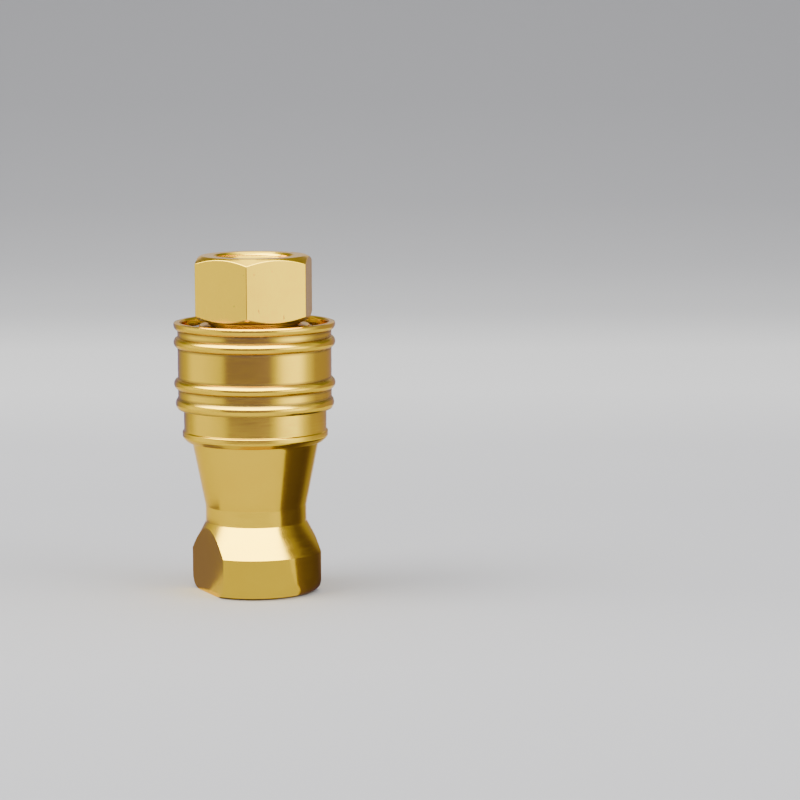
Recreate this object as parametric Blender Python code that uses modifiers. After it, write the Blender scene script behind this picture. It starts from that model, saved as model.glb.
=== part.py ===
"""Quick disconnect coupler, half-inch size, with its plug locked into its socket.

The socket half is below: an adapter with a threaded port, a barrel with a ring of locking balls, a sprung
release sleeve and a poppet valve. The plug half is above, with its own poppet valve. Each piece is one object.
Units are metres, +Z is up along the flow axis, and the origin is the centre of the adapter's end face.
"""

import math

import bmesh
import bpy
from mathutils import Matrix, Vector

MM = 0.001
GAP = 0.3 * MM  # clearance between pieces that touch on the real coupler
OUTER_STEPS = 32  # facets round the large turned pieces
INNER_STEPS = 24  # facets round the small turned pieces

# Driving dimensions, outside
SLEEVE_R = 22.0 * MM  # crest of the sleeve's grip ridges
TOTAL_HEIGHT = 92.0 * MM
HEX_FLATS = 30.0 * MM  # across the flats of the plug's hexagon
WRENCH_FLATS = 29.0 * MM  # across the two flats of the adapter's end
THREAD_MINOR_R = 9.3 * MM  # G 1/2 internal thread, modelled as its minor diameter
THREAD_MOUTH_R = 11.0 * MM  # countersink at each port's mouth
THREAD_RELIEF_R = 10.6 * MM

# Adapter, from the end face up
ADAPTER_R = 18.15 * MM
ADAPTER_FACE_R = 15.7 * MM
ADAPTER_CHAMFER_Z = 3.3 * MM
SHOULDER_Z = 11.0 * MM  # top of the round wrench end
WAIST_R = 13.8 * MM
WAIST_Z = (19.2 * MM, 23.5 * MM)
CONE_TOP_R = 17.3 * MM
FLANGE_Z = (41.3 * MM, 44.3 * MM)
FLANGE_R = 19.85 * MM
COLLAR_R = 19.45 * MM
COLLAR_TOP_Z = 52.5 * MM
POCKET_R = (15.5 * MM, 18.0 * MM)  # annular pocket that seats the sleeve spring
POCKET_Z = 47.0 * MM
ADAPTER_THREAD_Z = (17.0 * MM, 19.0 * MM)  # end of the thread, and of its relief groove
PASSAGE_R = 9.5 * MM
CHAMBER_R = 12.0 * MM  # valve chamber
CHAMBER_Z = (23.5 * MM, 27.5 * MM)  # cone that opens the passage into the chamber
GUIDE_SEAT_Z = 37.0 * MM
JOINT_R = 13.5 * MM  # bore that takes the barrel's threaded end
JOINT_TOP_Z = 48.3 * MM

# Barrel
BARREL_Z = (40.1 * MM, 73.2 * MM)
BARREL_R = 15.0 * MM
BARREL_SHOULDER_R = 15.6 * MM
BARREL_SHOULDER_Z = (48.6 * MM, 53.4 * MM)
BARREL_BORE_R = 12.05 * MM
BARREL_BORE_Z = 48.0 * MM
SEAT_R = 7.0 * MM  # throat of the socket's valve seat
SEAT_Z = 46.0 * MM
SEAL_GROOVE_R = 14.0 * MM
SEAL_GROOVE_Z = (55.6 * MM, 59.4 * MM)
JOINT_GROOVE_R = 11.9 * MM
JOINT_GROOVE_Z = (45.9 * MM, 47.9 * MM)
STOP_GROOVE_R = 13.9 * MM
STOP_GROOVE_Z = (70.55 * MM, 72.3 * MM)

# Locking balls
BALL_COUNT = 8
BALL_R = 2.35 * MM
BALL_CENTRE_R = 12.85 * MM  # locked, in the plug's groove
BALL_Z = 64.5 * MM
BALL_HOLE_R = 2.65 * MM

# Release sleeve
SLEEVE_Z = (50.3 * MM, 74.0 * MM)
SLEEVE_BODY_R = 20.95 * MM
SLEEVE_TAIL_RIDGE_R = 21.6 * MM
RIDGE_HALF = 1.6 * MM
RIDGE_Z = (52.0 * MM, 57.2 * MM, 68.5 * MM, 73.3 * MM)
SKIRT_R = 19.8 * MM  # bore that slides over the collar
SKIRT_TOP_Z = 61.0 * MM
LAND_R = 15.5 * MM  # bore that holds the balls in
RELIEF_R = 17.3 * MM  # bore that lets the balls out
RELIEF_Z = 69.9 * MM
SLEEVE_STEP_Z = 70.5 * MM
MOUTH_R = 20.1 * MM

# Plug
NOSE_R = 11.75 * MM
NECK_R = 12.6 * MM
HEX_Z = 74.3 * MM
HEX_FACE_R = 14.3 * MM
NECK_Z = 73.7 * MM
GROOVE_R = 10.2 * MM
GROOVE_HALF = 1.0 * MM  # half of the groove's floor; its flanks rise at 45 degrees
NOSE_TIP_Z = 48.5 * MM
NOSE_TIP_R = 10.6 * MM
NOSE_CHAMFER = 1.5 * MM
PLUG_THROAT_R = 6.0 * MM
PLUG_SEAT_Z = 50.5 * MM
PLUG_CHAMBER_R = 8.6 * MM
SNAP_GROOVE_R = 9.3 * MM
SNAP_GROOVE_Z = (71.3 * MM, 72.7 * MM)
PLUG_THREAD_Z = (75.0 * MM, 77.0 * MM)  # relief groove below the port's thread

# Valves, held open against each other. Their cones run at 45 degrees.
SOCKET_TIP_Z = 48.05 * MM
PLUG_TIP_Z = 48.35 * MM
POPPET_TIP_R = 3.0 * MM
SOCKET_STEM_R = 3.0 * MM
SOCKET_STEM_Z = 27.6 * MM
SOCKET_HEAD_R = 9.0 * MM
SOCKET_HEAD_Z = (38.6 * MM, 40.1 * MM)
SOCKET_SEAL_SEAT = (6.2 * MM, 41.0 * MM)  # corner of the notch that holds the seal
PLUG_STEM_R = 2.5 * MM
PLUG_STEM_Z = 72.2 * MM
PLUG_HEAD_R = 7.2 * MM
PLUG_HEAD_Z = (55.6 * MM, 57.0 * MM)
PLUG_SEAL_SEAT = (4.5 * MM, 54.5 * MM)
TIP_CHAMFER = 0.4 * MM
POPPET_FLOAT = 2.0 * MM  # how far the pair can shift each way along the axis

BRASS = ("brass", (0.78, 0.55, 0.19), 1.0, 0.22)
STEEL = ("bearing_steel", (0.56, 0.57, 0.58), 1.0, 0.18)
SPRING_STEEL = ("spring_steel", (0.42, 0.43, 0.45), 1.0, 0.3)
RUBBER = ("nitrile_rubber", (0.02, 0.02, 0.02), 0.0, 0.6)
PTFE = ("ptfe", (0.85, 0.84, 0.80), 0.0, 0.5)

for old in list(bpy.data.objects):
    bpy.data.objects.remove(old)

parts = bpy.data.collections.new("quick_disconnect_coupler")
cutters = bpy.data.collections.new("cutters")
bpy.context.scene.collection.children.link(parts)
bpy.context.scene.collection.children.link(cutters)


def material(spec):
    """The Principled material of that name, made the first time it is asked for."""
    name, colour, metallic, roughness = spec
    found = bpy.data.materials.get(name)
    if found:
        return found
    made = bpy.data.materials.new(name)
    made.use_nodes = True
    shader = made.node_tree.nodes["Principled BSDF"]
    shader.inputs["Base Color"].default_value = (*colour, 1.0)
    shader.inputs["Metallic"].default_value = metallic
    shader.inputs["Roughness"].default_value = roughness
    return made


def add_object(name, data, spec):
    obj = bpy.data.objects.new(name, data)
    parts.objects.link(obj)
    data.materials.append(material(spec))
    return obj


def as_cutter(obj):
    """Moves an object out of the model: it only shapes others."""
    for collection in list(obj.users_collection):
        collection.objects.unlink(obj)
    cutters.objects.link(obj)
    obj.hide_render = True
    obj.display_type = "WIRE"
    return obj


def turned(name, profile, spec, steps=INNER_STEPS):
    """A turned piece: (radius, height) points that run down the outside, then up the bore or to the axis.

    A profile that starts and ends on the axis stays open. Any other is closed into a loop.
    """
    mesh = bpy.data.meshes.new(name)
    on_axis = profile[0][0] == 0
    edges = [(i, i + 1) for i in range(len(profile) - 1)]
    if not on_axis:
        edges.append((len(profile) - 1, 0))
    mesh.from_pydata([(r, 0, z) for r, z in profile], edges, [])
    obj = add_object(name, mesh, spec)
    screw = obj.modifiers.new("Turn", "SCREW")
    screw.steps = steps
    screw.render_steps = steps
    screw.use_merge_vertices = True
    screw.merge_threshold = 0.01 * MM
    screw.use_smooth_shade = True
    return obj


def boolean(obj, other, operation):
    modifier = obj.modifiers.new(operation.title(), "BOOLEAN")
    modifier.operation = operation
    modifier.object = other


def box(name, low, high, spec=BRASS):
    """A box between two corners."""
    mesh = bpy.data.meshes.new(name)
    low, high = Vector(low), Vector(high)
    shape = bmesh.new()
    bmesh.ops.create_cube(shape, size=1.0)
    bmesh.ops.scale(shape, vec=high - low, verts=shape.verts)
    bmesh.ops.translate(shape, vec=(low + high) / 2, verts=shape.verts)
    shape.to_mesh(mesh)
    shape.free()
    return add_object(name, mesh, spec)


def prism(name, sides, radius, z_range, spec=BRASS):
    """An upright prism or cylinder, with a corner on +X."""
    mesh = bpy.data.meshes.new(name)
    depth = z_range[1] - z_range[0]
    shape = bmesh.new()
    bmesh.ops.create_cone(
        shape,
        cap_ends=True,
        segments=sides,
        radius1=radius,
        radius2=radius,
        depth=depth,
        matrix=Matrix.Translation((0, 0, z_range[0] + depth / 2)) @ Matrix.Rotation(math.pi / 2, 4, "Z"),
    )
    shape.to_mesh(mesh)
    shape.free()
    return add_object(name, mesh, spec)


def ring(name, ring_r, section_r, z, spec, steps=20, section_steps=6):
    """An O-ring: a torus lying flat."""
    bpy.ops.mesh.primitive_torus_add(
        major_radius=ring_r,
        minor_radius=section_r,
        major_segments=steps,
        minor_segments=section_steps,
        location=(0, 0, z),
    )
    obj = bpy.context.object
    obj.name = name
    for collection in list(obj.users_collection):
        collection.objects.unlink(obj)
    parts.objects.link(obj)
    obj.data.materials.append(material(spec))
    return obj


def coil(name, coil_r, wire_r, z_range, turns, spec, per_turn=12):
    """A compression spring between two heights, with its end turns drawn together."""
    low, high = z_range[0] + wire_r, z_range[1] - wire_r
    end_pitch = 2.3 * wire_r
    pitch = (high - low - 2 * end_pitch) / (turns - 2)
    curve = bpy.data.curves.new(name, "CURVE")
    curve.dimensions = "3D"
    curve.bevel_depth = wire_r
    curve.bevel_resolution = 2
    curve.use_fill_caps = True
    count = round(turns * per_turn) + 1
    spline = curve.splines.new("POLY")
    spline.points.add(count - 1)
    for i, point in enumerate(spline.points):
        turn = i / per_turn
        closed = min(turn, 1) + max(0, turn - (turns - 1))
        z = low + closed * end_pitch + (turn - closed) * pitch
        angle = math.tau * turn
        point.co = (coil_r * math.cos(angle), coil_r * math.sin(angle), z, 1)
    return add_object(name, curve, spec)


def split_ring(name, inner_r, outer_r, z_range, open_deg, spec):
    """A flat retaining ring, with a gap on +X for the pliers."""
    steps = 28
    low, high = z_range
    gap = math.radians(open_deg)
    section = ((inner_r, low), (outer_r, low), (outer_r, high), (inner_r, high))
    shape = bmesh.new()
    loops = []
    for i in range(steps + 1):
        angle = gap / 2 + (math.tau - gap) * i / steps
        loops.append([shape.verts.new((r * math.cos(angle), r * math.sin(angle), z)) for r, z in section])
    for first, second in zip(loops, loops[1:]):
        for j in range(4):
            k = (j + 1) % 4
            shape.faces.new((first[j], first[k], second[k], second[j]))
    shape.faces.new(loops[0])
    shape.faces.new(loops[-1])
    bmesh.ops.recalc_face_normals(shape, faces=shape.faces)
    mesh = bpy.data.meshes.new(name)
    shape.to_mesh(mesh)
    shape.free()
    return add_object(name, mesh, spec)


def socket_adapter():
    """The socket's rear body: wrench end, waist, cone, flange and collar, turned from one bar."""
    edge = 1.0 * MM
    collar_edge = 0.4 * MM
    obj = turned(
        "socket_adapter",
        [
            (COLLAR_R - collar_edge, COLLAR_TOP_Z),
            (COLLAR_R, COLLAR_TOP_Z - collar_edge),
            (COLLAR_R, FLANGE_Z[1]),
            (FLANGE_R, FLANGE_Z[1] - collar_edge / 2),
            (FLANGE_R, FLANGE_Z[0] + edge),
            (FLANGE_R - edge, FLANGE_Z[0]),
            (CONE_TOP_R, FLANGE_Z[0]),
            (WAIST_R, WAIST_Z[1]),
            (WAIST_R, WAIST_Z[0]),
            (ADAPTER_R, SHOULDER_Z),
            (ADAPTER_R, ADAPTER_CHAMFER_Z),
            (ADAPTER_FACE_R, 0),
            (THREAD_MOUTH_R, 0),
            (THREAD_MINOR_R, THREAD_MOUTH_R - THREAD_MINOR_R),
            (THREAD_MINOR_R, ADAPTER_THREAD_Z[0]),
            (THREAD_RELIEF_R, ADAPTER_THREAD_Z[0]),
            (THREAD_RELIEF_R, ADAPTER_THREAD_Z[1]),
            (PASSAGE_R, ADAPTER_THREAD_Z[1]),
            (PASSAGE_R, CHAMBER_Z[0]),
            (CHAMBER_R, CHAMBER_Z[1]),
            (CHAMBER_R, GUIDE_SEAT_Z),
            (JOINT_R, GUIDE_SEAT_Z),
            (JOINT_R, JOINT_TOP_Z),
            (POCKET_R[0], JOINT_TOP_Z),
            (POCKET_R[0], POCKET_Z),
            (POCKET_R[1], POCKET_Z),
            (POCKET_R[1], COLLAR_TOP_Z),
        ],
        BRASS,
        OUTER_STEPS,
    )
    reach = 2 * ADAPTER_R
    for side in (-1, 1):
        xs = sorted((side * WRENCH_FLATS / 2, side * reach))
        low = (xs[0], -reach, -edge)
        high = (xs[1], reach, sum(WAIST_Z) / 2)
        boolean(obj, as_cutter(box(f"flat_cutter_{side}", low, high)), "DIFFERENCE")


def socket_barrel():
    """The socket's front body: it holds the balls, the plug's seal and the valve seat."""
    edge = 0.4 * MM
    mouth = 0.85 * MM
    thread_r = JOINT_R - GAP
    seat_drop = CHAMBER_R - 1.0 * MM - SEAT_R
    obj = turned(
        "socket_barrel",
        [
            (BARREL_BORE_R + mouth, BARREL_Z[1]),
            (BARREL_R - edge, BARREL_Z[1]),
            (BARREL_R, BARREL_Z[1] - edge),
            (BARREL_R, STOP_GROOVE_Z[1]),
            (STOP_GROOVE_R, STOP_GROOVE_Z[1]),
            (STOP_GROOVE_R, STOP_GROOVE_Z[0]),
            (BARREL_R, STOP_GROOVE_Z[0]),
            (BARREL_R, BARREL_SHOULDER_Z[1] + BARREL_SHOULDER_R - BARREL_R),
            (BARREL_SHOULDER_R, BARREL_SHOULDER_Z[1]),
            (BARREL_SHOULDER_R, BARREL_SHOULDER_Z[0]),
            (thread_r, BARREL_SHOULDER_Z[0]),
            (thread_r, JOINT_GROOVE_Z[1]),
            (JOINT_GROOVE_R, JOINT_GROOVE_Z[1]),
            (JOINT_GROOVE_R, JOINT_GROOVE_Z[0]),
            (thread_r, JOINT_GROOVE_Z[0]),
            (thread_r, BARREL_Z[0]),
            (SEAT_R + seat_drop, BARREL_Z[0]),
            (SEAT_R + seat_drop, SEAT_Z - seat_drop),
            (SEAT_R, SEAT_Z),
            (SEAT_R, BARREL_BORE_Z),
            (BARREL_BORE_R, BARREL_BORE_Z),
            (BARREL_BORE_R, SEAL_GROOVE_Z[0]),
            (SEAL_GROOVE_R, SEAL_GROOVE_Z[0]),
            (SEAL_GROOVE_R, SEAL_GROOVE_Z[1]),
            (BARREL_BORE_R, SEAL_GROOVE_Z[1]),
            (BARREL_BORE_R, BARREL_Z[1] - mouth),
        ],
        BRASS,
        OUTER_STEPS,
    )
    for i in range(BALL_COUNT):
        turn = Matrix.Rotation(math.tau * i / BALL_COUNT, 4, "Z")
        lie = Matrix.Translation((BALL_CENTRE_R, 0, BALL_Z)) @ Matrix.Rotation(math.pi / 2, 4, "Y")
        drill = as_cutter(prism(f"ball_drill_{i + 1}", 14, BALL_HOLE_R, (-4 * MM, 4 * MM)))
        drill.matrix_world = turn @ lie
        boolean(obj, drill, "DIFFERENCE")


def ridge(z, crest_r):
    """A grip ridge on the sleeve, down its outside."""
    top = RIDGE_HALF * 0.4
    return [
        (SLEEVE_BODY_R, z + RIDGE_HALF),
        (crest_r, z + top),
        (crest_r, z - top),
        (SLEEVE_BODY_R, z - RIDGE_HALF),
    ]


def release_sleeve():
    """The sliding sleeve: its land holds the balls in, and its ramp lets them out."""
    edge = 0.4 * MM
    tail_r = SLEEVE_TAIL_RIDGE_R
    obj_profile = [
        (MOUTH_R + edge, SLEEVE_Z[1]),
        (SLEEVE_R - edge, SLEEVE_Z[1]),
        (SLEEVE_R, SLEEVE_Z[1] - edge),
        *ridge(RIDGE_Z[3], SLEEVE_R)[2:],
        *ridge(RIDGE_Z[2], SLEEVE_R),
        *ridge(RIDGE_Z[1], SLEEVE_R),
        *ridge(RIDGE_Z[0], tail_r)[:2],
        (tail_r, SLEEVE_Z[0] + edge),
        (tail_r - edge, SLEEVE_Z[0]),
        (SKIRT_R + edge, SLEEVE_Z[0]),
        (SKIRT_R, SLEEVE_Z[0] + edge),
        (SKIRT_R, SKIRT_TOP_Z),
        (LAND_R, SKIRT_TOP_Z),
        (LAND_R, BALL_Z),
        (RELIEF_R, RELIEF_Z),
        (RELIEF_R, SLEEVE_STEP_Z),
        (MOUTH_R, SLEEVE_STEP_Z),
        (MOUTH_R, SLEEVE_Z[1] - edge),
    ]
    turned("release_sleeve", obj_profile, BRASS, OUTER_STEPS)


def locking_balls():
    """Steel balls in the barrel's holes, each with its origin at its own centre."""
    mesh = bpy.data.meshes.new("locking_ball")
    shape = bmesh.new()
    bmesh.ops.create_uvsphere(shape, u_segments=12, v_segments=6, radius=BALL_R)
    shape.to_mesh(mesh)
    shape.free()
    mesh.shade_smooth()
    mesh.materials.append(material(STEEL))
    for i in range(BALL_COUNT):
        angle = math.tau * i / BALL_COUNT
        ball = bpy.data.objects.new(f"locking_ball_{i + 1}", mesh)
        ball.location = (BALL_CENTRE_R * math.cos(angle), BALL_CENTRE_R * math.sin(angle), BALL_Z)
        parts.objects.link(ball)


def socket_small_pieces():
    """The sleeve's spring and stop ring, and the socket's seals."""
    wire_r = 0.7 * MM
    coil_r = POCKET_R[1] - GAP - wire_r
    coil("sleeve_spring", coil_r, wire_r, (POCKET_Z + GAP, SKIRT_TOP_Z - GAP), 5, SPRING_STEEL, 16)
    stop_z = (STOP_GROOVE_Z[0] + GAP, STOP_GROOVE_Z[1] - GAP)
    split_ring("sleeve_stop_ring", STOP_GROOVE_R + GAP, RELIEF_R + 1.0 * MM, stop_z, 14, SPRING_STEEL)
    seal_r = 0.85 * MM
    seal_z = SEAL_GROOVE_Z[0] + GAP + seal_r
    ring("plug_seal_o_ring", SEAL_GROOVE_R - 1.05 * MM, seal_r, seal_z, RUBBER)
    backup_z = (seal_z + seal_r + GAP, SEAL_GROOVE_Z[1] - GAP)
    backup_r = (BARREL_BORE_R + 0.1 * MM, SEAL_GROOVE_R - GAP)
    turned(
        "plug_seal_backup_ring",
        [
            (backup_r[0], backup_z[1]),
            (backup_r[1], backup_z[1]),
            (backup_r[1], backup_z[0]),
            (backup_r[0], backup_z[0]),
        ],
        PTFE,
    )
    ring("body_joint_o_ring", JOINT_GROOVE_R + 0.85 * MM, 0.62 * MM, sum(JOINT_GROOVE_Z) / 2, RUBBER)


def socket_poppet():
    """The socket's valve: a nose that the plug's valve pushes on, a seal, a head and a guided stem."""
    cone = SOCKET_HEAD_R + SOCKET_HEAD_Z[1]  # radius plus height, the same all along the cone
    seal_r, seal_z = SOCKET_SEAL_SEAT
    neck = 5.0 * MM
    turned(
        "socket_poppet",
        [
            (0, SOCKET_TIP_Z),
            (POPPET_TIP_R - TIP_CHAMFER, SOCKET_TIP_Z),
            (POPPET_TIP_R, SOCKET_TIP_Z - TIP_CHAMFER),
            (POPPET_TIP_R, cone - neck + 1.0 * MM),
            (neck, cone - neck),
            (seal_r, cone - seal_r),
            (seal_r, seal_z),
            (cone - seal_z, seal_z),
            (SOCKET_HEAD_R, SOCKET_HEAD_Z[1]),
            (SOCKET_HEAD_R, SOCKET_HEAD_Z[0]),
            (SOCKET_STEM_R, SOCKET_HEAD_Z[0]),
            (SOCKET_STEM_R, SOCKET_STEM_Z + TIP_CHAMFER),
            (SOCKET_STEM_R - TIP_CHAMFER, SOCKET_STEM_Z),
            (0, SOCKET_STEM_Z),
        ],
        BRASS,
    )
    section_r = 0.6 * MM
    ring("socket_poppet_seal", seal_r + GAP + section_r, section_r, seal_z + GAP + section_r, RUBBER)


def socket_poppet_guide():
    """The cage that carries the socket valve's stem: a clamped ring, four legs, four arms and a hub."""
    ring_z = (GUIDE_SEAT_Z + GAP, BARREL_Z[0] - GAP)
    ring_r = (11.0 * MM, JOINT_R - GAP)
    leg_r = (9.7 * MM, 11.5 * MM)
    leg_half = 1.7 * MM
    arm_half = 1.3 * MM
    arm_z = (28.3 * MM, 30.2 * MM)
    leg_low = 28.0 * MM
    hub_r = (SOCKET_STEM_R + GAP, 5.2 * MM)
    hub_z = (27.5 * MM, SOCKET_HEAD_Z[0] - POPPET_FLOAT - GAP)  # its top stops the valve
    into = 0.5 * MM
    guide = turned(
        "socket_poppet_guide",
        [(ring_r[0], ring_z[1]), (ring_r[1], ring_z[1]), (ring_r[1], ring_z[0]), (ring_r[0], ring_z[0])],
        BRASS,
    )
    hub = turned(
        "guide_hub",
        [(hub_r[0], hub_z[1]), (hub_r[1], hub_z[1]), (hub_r[1], hub_z[0]), (hub_r[0], hub_z[0])],
        BRASS,
    )
    for i in range(4):
        turn = Matrix.Rotation(math.tau * (i + 0.5) / 4, 4, "Z")
        leg = box(f"guide_leg_{i}", (leg_r[0], -leg_half, leg_low), (leg_r[1], leg_half, ring_z[1] - into))
        arm = box(f"guide_arm_{i}", (hub_r[1] - into, -arm_half, arm_z[0]), (leg_r[0] + into, arm_half, arm_z[1]))
        for piece in (leg, arm):
            piece.matrix_world = turn
            boolean(guide, as_cutter(piece), "UNION")
    boolean(guide, as_cutter(hub), "UNION")
    coil("socket_poppet_spring", 6.6 * MM, 0.6 * MM, (arm_z[1] + GAP, SOCKET_HEAD_Z[0] - GAP), 3.5, SPRING_STEEL)


def plug_body():
    """The plug: a hexagon with the other threaded port, and the nose that the socket grips."""
    hex_r = HEX_FLATS / 2 / math.cos(math.pi / 6)
    bar_r = hex_r + GAP
    drop = (bar_r - HEX_FACE_R) * math.tan(math.pi / 6)  # 30 degree chamfer on the hexagon's corners
    flank = NOSE_R - GROOVE_R
    seat_rise = PLUG_CHAMBER_R - PLUG_THROAT_R
    obj = turned(
        "plug_body",
        [
            (HEX_FACE_R, TOTAL_HEIGHT),
            (bar_r, TOTAL_HEIGHT - drop),
            (bar_r, HEX_Z + drop),
            (HEX_FACE_R, HEX_Z),
            (NECK_R, HEX_Z),
            (NECK_R, NECK_Z),
            (NOSE_R, NECK_Z),
            (NOSE_R, BALL_Z + GROOVE_HALF + flank),
            (GROOVE_R, BALL_Z + GROOVE_HALF),
            (GROOVE_R, BALL_Z - GROOVE_HALF),
            (NOSE_R, BALL_Z - GROOVE_HALF - flank),
            (NOSE_R, NOSE_TIP_Z + NOSE_CHAMFER),
            (NOSE_TIP_R, NOSE_TIP_Z),
            (PLUG_THROAT_R, NOSE_TIP_Z),
            (PLUG_THROAT_R, PLUG_SEAT_Z),
            (PLUG_CHAMBER_R, PLUG_SEAT_Z + seat_rise),
            (PLUG_CHAMBER_R, SNAP_GROOVE_Z[0]),
            (SNAP_GROOVE_R, SNAP_GROOVE_Z[0]),
            (SNAP_GROOVE_R, SNAP_GROOVE_Z[1]),
            (PLUG_CHAMBER_R, SNAP_GROOVE_Z[1]),
            (PLUG_CHAMBER_R, PLUG_THREAD_Z[0]),
            (THREAD_RELIEF_R, PLUG_THREAD_Z[0]),
            (THREAD_RELIEF_R, PLUG_THREAD_Z[1]),
            (THREAD_MINOR_R, PLUG_THREAD_Z[1]),
            (THREAD_MINOR_R, TOTAL_HEIGHT - (THREAD_MOUTH_R - THREAD_MINOR_R)),
            (THREAD_MOUTH_R, TOTAL_HEIGHT),
        ],
        BRASS,
        OUTER_STEPS,
    )
    blank = prism("hexagon_blank", 6, hex_r, (NOSE_TIP_Z - SLEEVE_R, TOTAL_HEIGHT + SLEEVE_R))
    boolean(obj, as_cutter(blank), "INTERSECT")


def plug_poppet():
    """The plug's valve, which faces the socket's."""
    cone = PLUG_HEAD_Z[0] - PLUG_HEAD_R  # height minus radius, the same all along the cone
    seal_r, seal_z = PLUG_SEAL_SEAT
    neck = 4.0 * MM
    turned(
        "plug_poppet",
        [
            (0, PLUG_STEM_Z),
            (PLUG_STEM_R - TIP_CHAMFER, PLUG_STEM_Z),
            (PLUG_STEM_R, PLUG_STEM_Z - TIP_CHAMFER),
            (PLUG_STEM_R, PLUG_HEAD_Z[1]),
            (PLUG_HEAD_R, PLUG_HEAD_Z[1]),
            (PLUG_HEAD_R, PLUG_HEAD_Z[0]),
            (seal_z - cone, seal_z),
            (seal_r, seal_z),
            (seal_r, cone + seal_r),
            (neck, cone + neck),
            (POPPET_TIP_R, cone + neck - 1.0 * MM),
            (POPPET_TIP_R, PLUG_TIP_Z + TIP_CHAMFER),
            (POPPET_TIP_R - TIP_CHAMFER, PLUG_TIP_Z),
            (0, PLUG_TIP_Z),
        ],
        BRASS,
    )
    section_r = 0.5 * MM
    ring("plug_poppet_seal", seal_r + GAP + section_r, section_r, seal_z - GAP - section_r, RUBBER)


def plug_poppet_guide():
    """The spider that carries the plug valve's stem, and the snap ring that holds it down."""
    top = SNAP_GROOVE_Z[0] - GAP
    low = 68.3 * MM
    rim_r = (6.9 * MM, PLUG_CHAMBER_R - GAP)
    hub_r = (PLUG_STEM_R + GAP, 4.4 * MM)
    hub_low = PLUG_HEAD_Z[1] + POPPET_FLOAT + GAP  # its bottom stops the valve
    guide = turned(
        "plug_poppet_guide",
        [(rim_r[0], top), (rim_r[1], top), (rim_r[1], low), (rim_r[0], low)],
        BRASS,
    )
    hub = turned(
        "spider_hub",
        [(hub_r[0], top), (hub_r[1], top), (hub_r[1], hub_low), (hub_r[0], hub_low)],
        BRASS,
    )
    boolean(guide, as_cutter(hub), "UNION")
    into = 0.4 * MM
    arm_half = 1.3 * MM
    for i in range(3):
        arm_low = (hub_r[1] - into, -arm_half, low + into)
        arm = box(f"spider_arm_{i}", arm_low, (rim_r[0] + into, arm_half, top - into))
        arm.rotation_euler.z = math.tau * i / 3
        boolean(guide, as_cutter(arm), "UNION")
    coil("plug_poppet_spring", 5.6 * MM, 0.5 * MM, (PLUG_HEAD_Z[1] + GAP, low - GAP), 5, SPRING_STEEL)
    snap_z = (SNAP_GROOVE_Z[0] + 0.2 * MM, SNAP_GROOVE_Z[1] - 0.2 * MM)
    split_ring("plug_guide_snap_ring", 7.4 * MM, SNAP_GROOVE_R - 0.2 * MM, snap_z, 50, SPRING_STEEL)


socket_adapter()
socket_barrel()
release_sleeve()
locking_balls()
socket_small_pieces()
socket_poppet()
socket_poppet_guide()
plug_body()
plug_poppet()
plug_poppet_guide()
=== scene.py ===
"""The finished look of a brass quick disconnect coupler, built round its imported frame.

Every piece is modelled again here as it is machined: turned profiles with rounded edges, milled flats, cut
pipe threads, ground spring ends. Lengths are in metres, heights run along the coupler's axis, and radii are
measured from it. Profiles are lists of corners in millimetres, each (radius, height) or (radius, height,
rounding).
"""

import math

import bmesh
import bpy
from mathutils import Matrix, Vector


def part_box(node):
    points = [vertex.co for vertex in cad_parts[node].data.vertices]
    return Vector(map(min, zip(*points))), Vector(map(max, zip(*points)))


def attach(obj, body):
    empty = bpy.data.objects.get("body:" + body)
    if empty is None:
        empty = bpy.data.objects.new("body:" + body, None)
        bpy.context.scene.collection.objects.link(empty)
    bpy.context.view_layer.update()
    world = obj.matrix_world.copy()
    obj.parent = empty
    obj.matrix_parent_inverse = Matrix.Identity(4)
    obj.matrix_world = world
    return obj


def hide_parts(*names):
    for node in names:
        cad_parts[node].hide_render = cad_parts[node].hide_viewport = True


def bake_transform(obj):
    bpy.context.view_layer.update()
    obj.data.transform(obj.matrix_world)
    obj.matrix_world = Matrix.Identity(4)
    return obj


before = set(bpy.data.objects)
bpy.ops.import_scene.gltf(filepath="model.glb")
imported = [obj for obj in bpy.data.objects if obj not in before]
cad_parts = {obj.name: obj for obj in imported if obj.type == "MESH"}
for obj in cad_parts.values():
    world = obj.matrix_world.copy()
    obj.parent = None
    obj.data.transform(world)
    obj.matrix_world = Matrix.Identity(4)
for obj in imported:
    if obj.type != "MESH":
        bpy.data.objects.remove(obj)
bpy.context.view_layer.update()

MM = 0.001
FINE = 180  # columns round a large turned piece
COARSE = 96  # columns round a small one
ARC_STEP = math.radians(12)  # most that one facet of a rounded edge turns
WELD = 0.002 * MM
LARGE_FACE_WEIGHT = 80
SHARP_EDGE = math.radians(16)  # an edge that turns by more is broken where it is asked to be

# The frame's own sizes
sleeve_low, sleeve_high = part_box("release_sleeve")
plug_low, plug_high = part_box("plug_body")
barrel_low, barrel_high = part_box("socket_barrel")
adapter_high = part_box("socket_adapter")[1]
SLEEVE_R = sleeve_high.x
TOP_Z = plug_high.z
HEX_FLAT = plug_high.y  # from the axis to a flat of the hexagon
NOSE_TIP_Z = plug_low.z
FLANGE_R = adapter_high.x
COLLAR_TOP_Z = adapter_high.z

# Pipe thread, G 1/2
THREAD_PITCH = 25.4 / 14 * MM
THREAD_MAJOR_R = 20.955 / 2 * MM
THREAD_MINOR_R = 18.631 / 2 * MM
THREAD_FLANK = math.radians(27.5)
THREAD_ROUND = 0.137329 * THREAD_PITCH
MOUTH_R = 11.0 * MM
MOUTH_EDGE = 0.12 * MM  # broken edge round each port's mouth


# ---------------------------------------------------------------- shapes


def columns(breaks, counts):
    """Angles round the axis, in radians, evenly spread between the breaks given in degrees."""
    angles = []
    for start, end, count in zip(breaks, breaks[1:], counts):
        angles += [math.radians(start + (end - start) * i / count) for i in range(count)]
    return angles


def even_columns(count):
    return columns((0, 360), (count,))


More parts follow.
